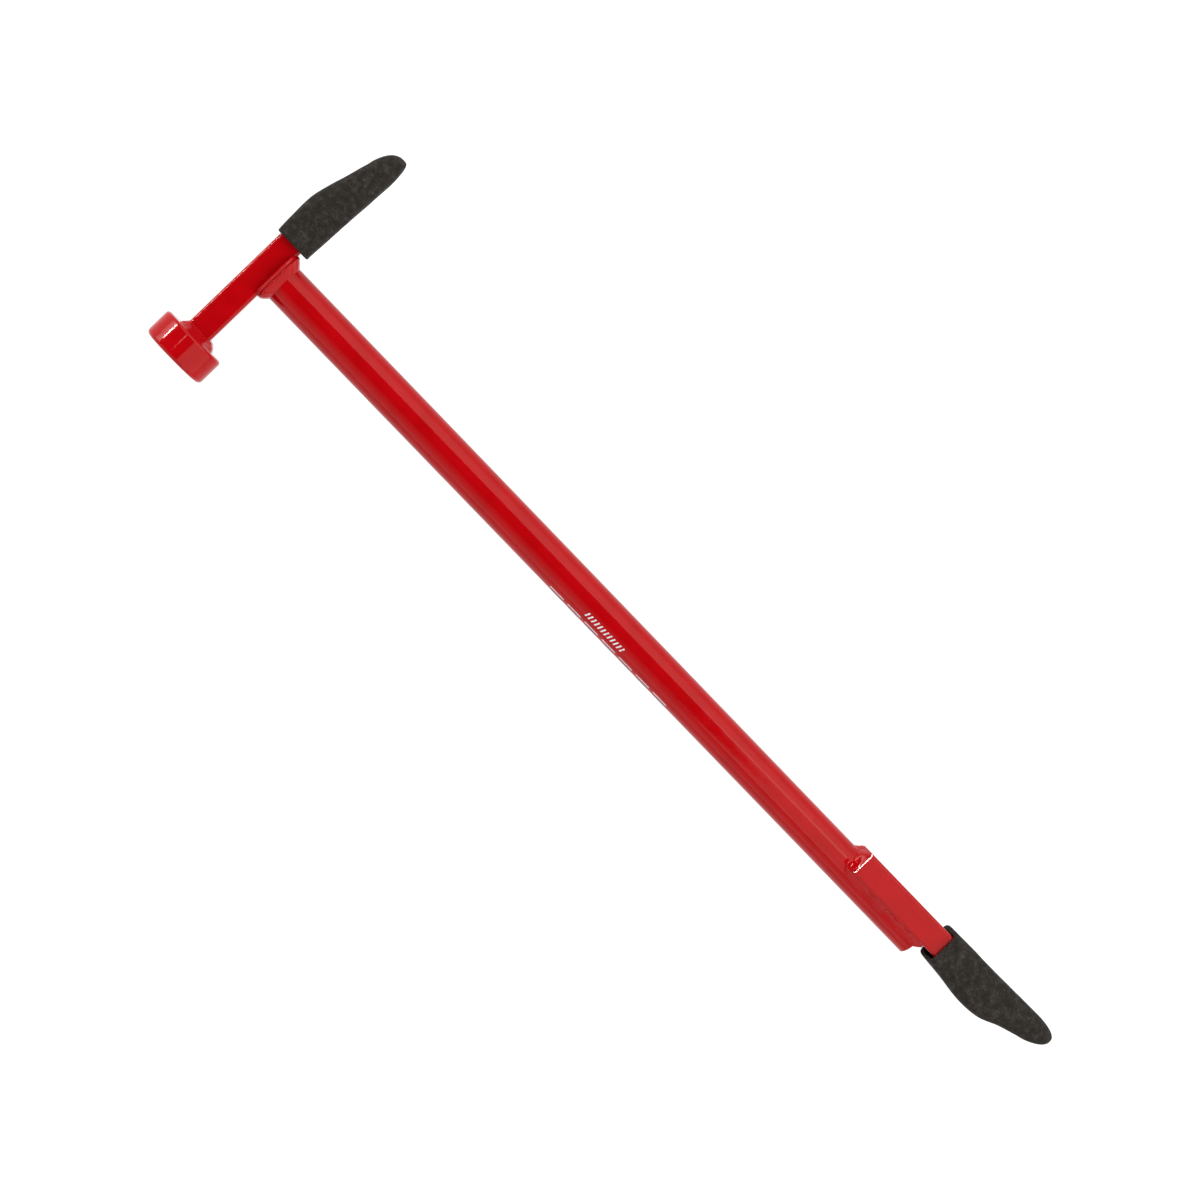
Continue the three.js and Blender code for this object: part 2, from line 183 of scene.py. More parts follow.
def clamp(value, low=0, high=1):
    return max(low, min(high, value))


def smooth_step(value):
    """0 below 0 and 1 above 1, with a smooth rise between them."""
    value = clamp(value)
    return value * value * (3 - 2 * value)


def rounded_square(steps):
    """Points round the section of a square bar, with steps round each of its corners."""
    points = []
    flat = HALF - BAR_CORNER
    for quarter, (a, b) in enumerate([(1, 1), (-1, 1), (-1, -1), (1, -1)]):
        for i in range(steps + 1):
            angle = math.radians(90) * (quarter + i / steps)
            points.append((a * flat + BAR_CORNER * math.cos(angle),
                           b * flat + BAR_CORNER * math.sin(angle)))
    return points


def subdivide(path, spacing):
    """A closed path with points added along its longer sides, about the spacing apart."""
    points = []
    for (a0, b0), (a1, b1) in zip(path, path[1:] + path[:1]):
        pieces = max(1, round(math.hypot(a1 - a0, b1 - b0) / spacing))
        points += [(a0 + (a1 - a0) * i / pieces, b0 + (b1 - b0) * i / pieces) for i in range(pieces)]
    return points


def slice_off(bm, point, normal):
    """Cuts away everything on the normal's side of a plane and closes the cut."""
    geometry = bm.verts[:] + bm.edges[:] + bm.faces[:]
    cut = bmesh.ops.bisect_plane(bm, geom=geometry, dist=1e-5, plane_co=Vector(point),
                                 plane_no=Vector(normal), clear_outer=True)
    edges = [item for item in cut["geom_cut"] if isinstance(item, bmesh.types.BMEdge)]
    bmesh.ops.edgenet_fill(bm, edges=edges)


def soften(piece, width, segments=3):
    """Rounds a piece's sharp edges. The width is in millimetres."""
    bevel = piece.modifiers.new("edge_rounding", "BEVEL")
    bevel.width = width * MM
    bevel.segments = segments
    bevel.limit_method = "ANGLE"
    bevel.angle_limit = math.radians(50)
    bevel.harden_normals = True
    return piece


# ---- Materials ---------------------------------------------------------------------

class Nodes:
    """A short way to write a material's node tree. Scales are per metre and distances in metres."""

    def __init__(self, name):
        self.material = bpy.data.materials.new(name)
        self.material.use_nodes = True
        self.tree = self.material.node_tree
        self.shader = self.tree.nodes["Principled BSDF"]
        coordinates = self.tree.nodes.new("ShaderNodeTexCoord")
        self.place = coordinates.outputs["Object"]

    def link(self, source, target):
        self.tree.links.new(source, target)

    def noise(self, scale, detail=3, roughness=0.5, stretch=None):
        node = self.tree.nodes.new("ShaderNodeTexNoise")
        node.inputs["Scale"].default_value = scale
        node.inputs["Detail"].default_value = detail
        node.inputs["Roughness"].default_value = roughness
        source = self.place
        if stretch:
            mapping = self.tree.nodes.new("ShaderNodeMapping")
            mapping.inputs["Scale"].default_value = stretch
            self.link(source, mapping.inputs["Vector"])
            source = mapping.outputs["Vector"]
        self.link(source, node.inputs["Vector"])
        return node.outputs["Fac"]

    def ramp(self, source, stops):
        """Colours along a noise. Each stop is (position, colour)."""
        node = self.tree.nodes.new("ShaderNodeValToRGB")
        points = node.color_ramp.elements
        while len(points) < len(stops):
            points.new(0.5)
        for point, (position, colour) in zip(points, stops):
            point.position = position
            point.color = (*colour, 1)
        self.link(source, node.inputs["Fac"])
        return node.outputs["Color"]

    def span(self, source, low, high):
        """Spreads the middle of a noise over the values from low to high."""
        node = self.tree.nodes.new("ShaderNodeMapRange")
        node.inputs["From Min"].default_value = 0.3
        node.inputs["From Max"].default_value = 0.7
        node.inputs["To Min"].default_value = low
        node.inputs["To Max"].default_value = high
        self.link(source, node.inputs["Value"])
        return node.outputs["Result"]

    def bump(self, source, distance, before=None):
        """Relief of the given height, on top of the bump before it if there is one."""
        node = self.tree.nodes.new("ShaderNodeBump")
        node.inputs["Distance"].default_value = distance
        self.link(source, node.inputs["Height"])
        if before is not None:
            self.link(before, node.inputs["Normal"])
        return node.outputs["Normal"]


def red_powder_coat():
    """Glossy red paint with faint waves and orange peel."""
    n = Nodes("red_powder_coat")
    tone = n.noise(60, detail=4)
    n.link(n.ramp(tone, [(0.3, (0.228, 0.0003, 0.0013)), (0.7, (0.262, 0.0006, 0.0022))]),
           n.shader.inputs["Base Color"])
    n.link(n.span(n.noise(140, detail=3), 0.06, 0.11), n.shader.inputs["Roughness"])
    n.shader.inputs["Specular IOR Level"].default_value = 0.135
    n.shader.inputs["Specular Tint"].default_value = (1, 0.95, 0.88, 1)
    waves = n.bump(n.noise(95, detail=1), 0.03 * MM)
    peel = n.bump(n.noise(520, detail=2), 0.014 * MM, before=waves)
    n.link(peel, n.shader.inputs["Normal"])
    return n.material


def black_rubber():
    """Dull black rubber with dusty blotches, fine grain and shallow dents."""
    n = Nodes("black_rubber")
    blotch = n.noise(240, detail=12, roughness=0.85)
    clean, dull, dusty = (0.0045, 0.0036, 0.003), (0.0115, 0.0096, 0.0078), (0.034, 0.029, 0.024)
    n.link(n.ramp(blotch, [(0.34, clean), (0.5, dull), (0.64, dusty)]), n.shader.inputs["Base Color"])
    n.link(n.span(n.noise(260, detail=4), 0.6, 0.85), n.shader.inputs["Roughness"])
    n.shader.inputs["Specular IOR Level"].default_value = 0.09
    grain = n.bump(n.noise(1100, detail=3, roughness=0.7), 0.08 * MM)
    dents = n.bump(n.noise(170, detail=3), 0.2 * MM, before=grain)
    n.link(dents, n.shader.inputs["Normal"])
    return n.material


def print_ink(name, wear_scale, worn, whole, specular):
    """Printed ink, through which the red shows where it has worn. worn and whole are stops of a ramp."""
    n = Nodes(name)
    wear = n.noise(wear_scale, detail=4)
    n.link(n.ramp(wear, [worn, whole]), n.shader.inputs["Base Color"])
    n.link(n.span(n.noise(400), 0.3, 0.45), n.shader.inputs["Roughness"])
    n.shader.inputs["Specular IOR Level"].default_value = specular
    n.link(n.bump(n.noise(700), 0.02 * MM), n.shader.inputs["Normal"])
    return n.material


def ground_steel():
    """Bare steel with grinding scratches along X."""
    n = Nodes("ground_steel")
    scratches = n.noise(240, detail=4, stretch=(1, 14, 14))
    n.link(n.ramp(scratches, [(0.3, (0.20, 0.195, 0.19)), (0.7, (0.36, 0.35, 0.34))]),
           n.shader.inputs["Base Color"])
    n.shader.inputs["Metallic"].default_value = 1.0
    n.link(n.span(scratches, 0.3, 0.5), n.shader.inputs["Roughness"])
    n.link(n.bump(scratches, 0.04 * MM), n.shader.inputs["Normal"])
    return n.material


def pale_floor():
    """Looks white from its own glow, so that the tool's shadow hardly shows."""
    n = Nodes("pale_floor")
    tone = n.noise(3, detail=2)
    n.link(n.ramp(tone, [(0.2, (0.14, 0.14, 0.14)), (0.8, (0.16, 0.16, 0.16))]),
           n.shader.inputs["Base Color"])
    n.shader.inputs["Roughness"].default_value = 0.7
    n.shader.inputs["Specular IOR Level"].default_value = 0.1
    n.shader.inputs["Emission Color"].default_value = (1, 1, 1, 1)
    n.shader.inputs["Emission Strength"].default_value = 0.93
    return n.material


RED = red_powder_coat()
STEEL = ground_steel()
RUBBER = black_rubber()
WHITE = print_ink("white_print", 900, (0.34, (0.34, 0.20, 0.22)), (0.44, (0.46, 0.45, 0.46)), 0.3)
GREY = print_ink("grey_print", 800, (0.34, (0.16, 0.07, 0.09)), (0.46, (0.15, 0.12, 0.15)), 0.2)


def coat(piece, *nodes):
    """Red powder coat on a piece that takes the place of the CAD nodes named."""
    piece.data.materials.append(RED)
    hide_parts(*nodes)
    return piece


# ---- Handle ------------------------------------------------------------------------

def ring_x(x, radius):
    """A ring of points round the handle's axis."""
    return [(x, radius * math.cos(a), radius * math.sin(a)) for a in full_turn(ROUND)]


def make_handle():
    """The tube with its bore and, at the foot, the quarter cut away for the chisel bar."""
    bore = TUBE_R - TUBE_WALL
    notch = CHISEL_START - NOTCH_GAP
    foot = TUBE_END - 1  # inside the plate
    profile = [(TUBE_START, TUBE_R), (notch, TUBE_R), (notch, bore), (TUBE_START, bore)]
    bm = skin([ring_x(x, radius) for x, radius in profile], wrap=True)
    arc_points = []
    steps = 144
    for radius, order in ((TUBE_R, range(steps + 1)), (bore, range(steps, -1, -1))):
        for i in order:
            angle = math.radians(90 + 270 * i / steps)
            arc_points.append((radius * math.cos(angle), radius * math.sin(angle)))
    overlap = 0.01
    skin([[(x, y, z) for y, z in arc_points] for x in (notch - overlap, foot)], into=bm)
    return add_object("handle", bm, "tool")


def make_end_plate():
    """The plate that closes the handle's foot, with its edge melted round by the weld."""
    under_tube = 0.05  # keeps the plate's inner end just below the tube's surface
    rings = [ring_x(TUBE_END - PLATE_THICK, TUBE_R - under_tube)]
    for angle in quarter_turn(8):
        rings.append(ring_x(TUBE_END - PLATE_EDGE + PLATE_EDGE * math.sin(angle),
                            TUBE_R - PLATE_EDGE + PLATE_EDGE * math.cos(angle)))
    return add_object("foot_plate", skin(rings), "tool")


coat(make_handle(), "handle_tube")
coat(make_end_plate(), "handle_end_plate")


# ---- Head bar and hammer disc ----------------------------------------------------------

def make_head_bar(name, keep_tip):
    """The head bar, either its painted length or the bare end of its point."""
    section = rounded_square(BAR_STEPS)
    stations = [DISC_BACK - BAR_SUNK, 0, PICK_TIP]
    bm = skin([[(a, y, b) for a, b in section] for y in stations])
    run = PICK_TIP - PICK_BEVEL_START
    drop = BAR - PICK_TIP_THICK
    slice_off(bm, (-HALF, PICK_BEVEL_START, 0), (-run, drop, 0))
    cheek_run = PICK_TIP - PICK_CHEEK_START
    cheek_drop = HALF - PICK_TIP_HALF_WIDTH
    for side in (1, -1):
        slice_off(bm, (0, PICK_CHEEK_START, side * HALF), (0, cheek_drop, side * cheek_run))
    slice_off(bm, (0, PICK_TIP - STEEL_LENGTH, 0), (0, -1 if keep_tip else 1, 0))
    return soften(add_object(name, bm, "tool"), BAR_EDGE)


def make_disc():
    """The hammer disc, turned about the head bar's axis, with a slightly crowned face."""
    rings = []
    crowned = DISC_FACE + DISC_CROWN
    rim = DISC_R - DISC_EDGE
    back_rim = DISC_R - DISC_BACK_EDGE

    def ring(radius, y):
        rings.append([(radius * math.cos(a), y, radius * math.sin(a)) for a in full_turn(ROUND)])

    ring(1, DISC_FACE)
    ring(rim * 0.7, DISC_FACE + DISC_CROWN / 2)
    for angle in quarter_turn(12):
        ring(rim + DISC_EDGE * math.sin(angle), crowned + DISC_EDGE * (1 - math.cos(angle)))
    for angle in quarter_turn(12):
        ring(back_rim + DISC_BACK_EDGE * math.cos(angle),
             DISC_BACK - DISC_BACK_EDGE * (1 - math.sin(angle)))
    ring(1, DISC_BACK)
    return add_object("hammer_face_disc", skin(rings), "tool")


coat(make_head_bar("cross_head", False), "head_bar")
make_head_bar("pick_point", True).data.materials.append(STEEL)
coat(make_disc(), "hammer_disc")


# ---- Chisel bar --------------------------------------------------------------------------

def make_chisel_bar(name, keep_tip):
    """The chisel bar, either its painted length or the bare end of its edge."""
    section = rounded_square(BAR_STEPS)
    stations = [CHISEL_START, (CHISEL_START + CHISEL_TIP) / 2, CHISEL_TIP]
    bm = skin([[(x, HALF + a, HALF + b) for a, b in section] for x in stations])
    slice_off(bm, (CHISEL_START, 0, 0), (-BAR, 0, CHISEL_END_LEAN))
    tilt = math.radians(CHISEL_CHAMFER_TILT)
    chamfer_end = CHISEL_START + CHISEL_END_LEAN + CHISEL_CHAMFER
    slice_off(bm, (chamfer_end, 0, BAR), (-math.sin(tilt), 0, math.cos(tilt)))
    run = CHISEL_TIP - CHISEL_BEVEL_START
    slice_off(bm, (CHISEL_BEVEL_START, 0, 0), (CHISEL_EDGE_LOW, -run, 0))
    back_run = CHISEL_TIP - CHISEL_BACK_BEVEL_START
    slice_off(bm, (CHISEL_BACK_BEVEL_START, BAR, 0), (BAR - CHISEL_EDGE_HIGH, back_run, 0))
    slice_off(bm, (CHISEL_TIP - STEEL_LENGTH, 0, 0), (-1 if keep_tip else 1, 0, 0))
    return soften(add_object(name, bm, "tool"), BAR_EDGE, segments=4)


coat(make_chisel_bar("chisel", False), "chisel_bar")
make_chisel_bar("chisel_point", True).data.materials.append(STEEL)


# ---- Welds -------------------------------------------------------------------------------
# Each run is skinned through its cross sections. lump() lets the toes and the bead wander as they do
# in a run laid by hand, and every run has seeds of its own.

BURIED = 1.5  # how far the hidden side of a run goes into the steel


def make_head_weld():
    """A run all round the handle. It laps on to the bar's front and back, with a crease above its bead."""
    rings = []
    side_reach = TUBE_R + 4.5
    face_reach = TUBE_R + 2.2
    squareness = 3.2  # power of the run's outline, where 2 is an ellipse
    pick_side_extra = 0.8
    bead_start = 1.3  # below the bar's side
    bead_leg = 7.4
    bead_foot = TUBE_R - 0.3
    lap_height = 2.9
    lap_narrow = 0.97
    lap_rise = ((0.55, 0.35), (0.9, 0.7), (1, 1.15))  # (share of the way out, distance past the toe)
    # (distance below the bar's side, depth)
    crease = ((-0.35, 0.3), (0, 0.55), (0.15, 1.1), (0.45, 0.9), (0.75, 0.4))
    for angle in full_turn(320):
        c, s = math.cos(angle), math.sin(angle)
        around = (20 * c, 20 * s)
        stretch = (abs(c) ** squareness + abs(s) ** squareness) ** (-1 / squareness)
        wobble = 0.2 * lump(*around, 0, size=9, seed=1) + 0.05 * lump(*around, 0, size=3, seed=2)
        pick_side = smooth_step(c * 2 - 0.5)
        y_out = (side_reach + pick_side_extra * pick_side + wobble) * c * stretch
        z_out = (face_reach + wobble) * s * stretch
        out = math.hypot(y_out, z_out)
        y_way, z_way = y_out / out, z_out / out
        on_face = smooth_step((abs(z_out) - HALF) / 3)
        lap = (lap_height + 0.2 * lump(*around, 7, size=5, seed=3)) * on_face
        leg = bead_leg + 0.3 * lump(15 * c, 15 * s, 3, size=8, seed=3)
        lap_y = lap_narrow * y_out
        toe_z = math.copysign(min(abs(z_out), HALF - 0.1), s)
        deep_z = math.copysign(min(abs(z_out), HALF) - 1.3 * on_face, s)
        ring = [(HALF - lap + 0.4, lap_y, deep_z), (HALF - lap - 0.1, lap_y, toe_z)]
        crest = out + 0.3 * on_face
        for share, past_toe in lap_rise:
            ring.append((HALF - lap + past_toe * on_face,
                         lap_y + (crest * y_way - lap_y) * share,
                         toe_z + (crest * z_way - toe_z) * share))
        for below, depth in crease:
            x = HALF + 0.02 * (below + 1) + max(below, below * on_face)
            radius = out - depth * on_face
            ring.append((x, radius * y_way, radius * z_way))
        fullness = 1.8 - 0.4 * on_face - 0.55 * pick_side
        steps = 12
        for i in range(steps + 1):
            t = i / steps
            radius = bead_foot + (out - 0.2 * on_face - bead_foot) * (1 - t ** fullness)
            ring.append((HALF + bead_start + (leg - bead_start) * t, radius * y_way, radius * z_way))
        for below in (leg, 0.6):
            ring.append((HALF + below, (TUBE_R - BURIED) * y_way, (TUBE_R - BURIED) * z_way))
        rings.append(ring)
    return add_object("head_weld", skin(rings, wrap=True), "tool", 50)


def make_disc_weld():
    """A lumpy hand-laid run round the square bar, on the back of the hammer disc."""
    rings = []
    core = 6  # the run stands square off this inner square, and fans out at its corners
    for a, b in subdivide(rounded_square(8), 0.45):
        outward = (Vector((a, b)) - Vector((clamp(a, -core, core), clamp(b, -core, core)))).normalized()
        handle_side = smooth_step((a + HALF) / BAR)
        on_face = smooth_step((abs(b) - HALF + 3) / 3)
        middle = on_face * smooth_step((HALF - abs(a)) / 5)
        outer_corner = on_face * smooth_step((-a - 3) / 4)
        on_disc = (4.5 + 2.1 * handle_side + 1.2 * on_face + 5.5 * middle
                   + 0.5 * lump(a, b, 0, size=7, seed=4))
        on_bar = 5.4 + 0.4 * lump(a, b, 9, size=7, seed=6)
        hollow = 2.0 - 0.7 * handle_side * (1 - on_face) + 0.15 * on_face
        section = [(on_disc, -0.6)]
        for turn in quarter_turn(14):
            out = on_disc * math.cos(turn) ** hollow
            up = on_bar * math.sin(turn) ** hollow
            broad = 0.3 * lump(a + out, b, up, size=3.4, seed=7)
            fine = (0.12 + 0.55 * outer_corner) * lump(a + out, b, up, size=1.8, seed=8)
            swell = math.sin(2 * turn) * (broad + fine)
            section.append((out + swell, up + swell))
        section += [(-0.8, on_bar), (-BURIED, -0.6)]
        rings.append([(a + outward.x * out, DISC_BACK + up, b + outward.y * out) for out, up in section])
    return add_object("disc_weld", skin(rings, wrap=True), "tool", 60)


def seam_ring(x, toe_bar, toe_tube, fullness, seed):
    """One section of a seam between the bar's side (a = 0) and the handle, as [a, b] points.
    toe_bar is the height of the toe on the bar, toe_tube the reach of the toe across the handle."""
    foot = math.sqrt(TUBE_R ** 2 - toe_tube ** 2)
    points = []
    steps = 10
    for i in range(steps + 1):
        t = i / steps
        a = -toe_tube * (1 - t)
        b = foot + (toe_bar - foot) * t
        out = fullness * math.sin(math.pi * t) + 0.12 * lump(x, a, b, size=3, seed=seed)
        points.append((a - 0.75 * out * (toe_bar - foot) / 7, b + 0.65 * out))
    points += [(BURIED, toe_bar), (BURIED, foot - 3), (-toe_tube, foot - 1.2)]
    return points


def make_seam(name, under, seed, past_end):
    """A long run beside the chisel bar, in front of it or under it. past_end is how far it goes on
    beyond the handle's foot."""
    rings = []
    stations = 170
    x_start = CHISEL_START - 1.0
    x_end = TUBE_END + past_end
    for k in range(stations + 1):
        share = k / stations
        x = x_start + (x_end - x_start) * share
        ease = min(1, share * 14 + 0.25, (1 - share) * 16 + 0.15)  # the run is smaller at both ends
        toe_bar = TUBE_R + (3.0 + 0.7 * lump(x, 0, 0, size=9, seed=seed)) * ease
        toe_tube = 1.2 + (4.6 + 1.0 * lump(x, 5, 0, size=11, seed=seed + 1)) * ease
        ripple = 0.07 * math.sin(2 * math.pi * x / 1.9 + 3 * lump(x, 0, 3, size=4, seed=seed + 2))
        fullness = (-0.35 + 0.5 * lump(x, 0, 7, size=9, seed=seed + 3) + ripple) * ease
        ring = seam_ring(x, toe_bar, toe_tube, fullness, seed + 4)
        rings.append([(x, b, a) if under else (x, a, b) for a, b in ring])
    return add_object(name, skin(rings), "tool", 60)


def make_top_weld():
    """Weld that slopes from the handle up over the chisel bar's sawn end."""
    rings = []
    count = 120
    steps = 16
    below_face = 0.5  # from the bar's outer faces down to the weld's crest
    # out to the crest where it passes the bar's rounded corner
    to_corner = HALF * math.sqrt(2) + (HALF - BAR_CORNER) * math.sqrt(2) + BAR_CORNER - 0.6
    crest_ripple_at, crest_ripple_spread = 80, 6  # degrees round the handle
    for k in range(count + 1):
        angle = math.radians(100 - 112 * k / count)
        across, up = math.cos(angle), math.sin(angle)
        first_end = smooth_step((angle - math.radians(90)) / math.radians(-6))
        last_end = smooth_step((k / count - 1) / -0.08)
        crest = min((BAR - below_face) / max(across, up), to_corner)
        crest = TUBE_R + (crest - TUBE_R) * (first_end * last_end)
        lean = CHISEL_END_LEAN * clamp(crest * up / BAR)
        leg = 5.2 + 0.9 * lump(across * 12, up * 12, 0, size=8, seed=30)
        foot = CHISEL_START - leg
        top = CHISEL_START + lean + 0.1
        crest_ripple = math.exp(-((math.degrees(angle) - crest_ripple_at) / crest_ripple_spread) ** 2)
        section = [(CHISEL_START + 1.2, TUBE_R - BURIED), (foot, TUBE_R - BURIED)]
        for i in range(steps + 1):
            t = i / steps
            x = foot + (top - foot) * t
            radius = TUBE_R - 0.1 + (crest - TUBE_R + 0.1) * t ** 1.7
            broad = 0.5 * lump(across * 14 + x, up * 14, x, size=4, seed=32)
            fine = 0.08 * lump(x, across * 14, up * 14, size=1.6, seed=33)
            ripple = 0.4 * crest_ripple * math.sin(2 * math.pi * x / 3.3 + across * 9)
            swell = math.sin(math.pi * t) * (broad + fine + ripple)
            section.append((x - 0.5 * swell, radius + swell))
        section.append((top + 1, crest - 0.6))
        rings.append([(x, radius * across, radius * up) for x, radius in section])
    return add_object("chisel_top_weld", skin(rings), "tool", 60)


def make_end_weld():
    """Weld in the corner between the chisel bar's two inner faces and the foot plate."""
    rings = []
    arm = TUBE_R - 2.5
    steps = 24  # along each arm; the two arms meet in the corner
    path = [(0, arm * (1 - i / steps)) for i in range(steps)]
    path += [(arm * i / steps, 0) for i in range(steps + 1)]
    for k, (a, b) in enumerate(path):
        past_corner = k - steps
        corner = math.exp(-(past_corner / 5) ** 2)
        if past_corner < -2:
            outward = Vector((-1, 0))
        elif past_corner > 2:
            outward = Vector((0, -1))
        else:
            outward = Vector((-1, -1)).normalized()
        ends = min(1, k / 5 + 0.15, (len(path) - 1 - k) / 5 + 0.15)  # the run is smaller at both ends
        leg = (3.6 + 0.9 * lump(a, b, 0, size=4, seed=41) + 0.6 * corner) * ends
        rise = (3.8 + 0.8 * lump(a, b, 4, size=4, seed=42)) * ends
        section = [(-1.0, -0.8), (leg, -0.8)]
        for turn in quarter_turn(10):
            wave = 0.25 * lump(a + 3 * math.cos(turn), b, 3 * math.sin(turn), size=1.7, seed=43)
            section.append((leg * math.cos(turn) ** 1.2 + wave * math.cos(turn),
                            rise * math.sin(turn) ** 1.2))
        section.append((-1.0, rise))
        rings.append([(TUBE_END + up, a + outward.x * out, b + outward.y * out) for out, up in section])
    return add_object("foot_weld", skin(rings), "tool", 60)


coat(make_head_weld(), "head_weld_front", "head_weld_rear")
coat(make_disc_weld(), "disc_weld_front", "disc_weld_rear", "disc_weld_inner", "disc_weld_outer")
coat(make_seam("chisel_front_seam", under=False, seed=10, past_end=4), "chisel_weld_front")
coat(make_seam("chisel_under_seam", under=True, seed=20, past_end=2), "chisel_weld_side")
coat(make_top_weld(), "chisel_weld_top")
coat(make_end_weld(), "chisel_weld_end")


# ---- Rubber caps ---------------------------------------------------------------------------

CAP_WALL_GAP = 0.6  # between the rubber and the bar
CAP_SLACK = 2.1  # the same, on the side where the cap stands off the bar
CAP_POINTS = 112
CAP_LUMP = 0.25
MOUTH_HALF_DEPTH = 14
NOSE_HALF_DEPTH = 13
# Powers of the squared-off ovals: 2 is an ellipse and a high power is nearly square.
MOUTH_POWER = 6
NOSE_POWER = 3.2
TIP_POWER = 2.3
HOLLOW_POWER = 9
RIM_ROUND = 1.1
LIP_ROUND = 0.7
LEAN_LENGTH = 30  # a leaning mouth straightens out over this length

# Stations are (distance from the mouth, lowest, highest), measured across the bar from its axis.
# low_ease, low_power and high_power shape the two sides of the rounded nose, and lean tips the mouth.
# The hollow is straight as far as hollow_bend and tapers from there to hollow_end.
PICK_CAP = {
    "stations": [(0, -12.4, 15), (15, -13, 15.6), (29, -13.1, 16.2), (36, -12.4, 16.4), (45, -10.3, 16.8),
                 (61, -6.1, 17.6), (75, -2.4, 18.2)],
    "tip": (94.1, 12.5), "low_ease": 1.4, "low_power": 0.42, "high_power": 0.5, "lean": 0,
    "hollow_low": -HALF - CAP_WALL_GAP, "hollow_high": HALF + CAP_SLACK,
    "hollow_bend": 31.5, "hollow_end": 85.0, "hollow_end_low": 4,
}
CHISEL_CAP = {
    "stations": [(0, -14.6, 13.8), (21, -16.6, 13.9), (37, -18.3, 13.9), (48, -18, 14), (57, -16.5, 14.2),
                 (63, -14.1, 14.3), (69, -11.5, 14.5), (85, -6.4, 14.8)],
    "tip": (105.9, 6.8), "low_ease": 1.2, "low_power": 0.55, "high_power": 0.6, "lean": 2.7,
    "hollow_low": -HALF - CAP_SLACK, "hollow_high": HALF + CAP_WALL_GAP,
    "hollow_bend": 52.0, "hollow_end": 95.0, "hollow_end_low": 3.4,
}


def blend_values(stations, at, column):
    """The value at one distance, on a smooth curve through a column of the stations."""
    points = [(s[0], s[column]) for s in stations]
    last = len(points) - 1
    k = 0
    while at > points[k + 1][0] and k + 1 < last:
        k += 1
    (x0, v0), (x1, v1) = points[k], points[k + 1]
    before, after = points[max(k - 1, 0)], points[min(k + 2, last)]
    slope0 = (v1 - before[1]) / (x1 - before[0])
    slope1 = (after[1] - v0) / (after[0] - x0)
    wide = x1 - x0
    t = (at - x0) / wide
    return ((2 * t ** 3 - 3 * t ** 2 + 1) * v0 + (t ** 3 - 2 * t ** 2 + t) * wide * slope0
            + (3 * t ** 2 - 2 * t ** 3) * v1 + (t ** 3 - t ** 2) * wide * slope1)


def cap_section(u, low, high, depth, power, lean=0.0):
    """A ring of the cap: a squared-off oval, leaning if the mouth does."""
    ring = []
    for i in range(CAP_POINTS):
        angle = 2 * math.pi * (i + 0.5) / CAP_POINTS  # half a step on, so that no point lies on an axis
        c, s = math.cos(angle), math.sin(angle)
        across = math.copysign(abs(c) ** (2 / power), c)
        deep = math.copysign(abs(s) ** (2 / power), s)
        v = (low + high) / 2 + across * (high - low) / 2
        w = deep * depth
        ring.append((u + lean * w / MOUTH_HALF_DEPTH, v, w))
    return ring


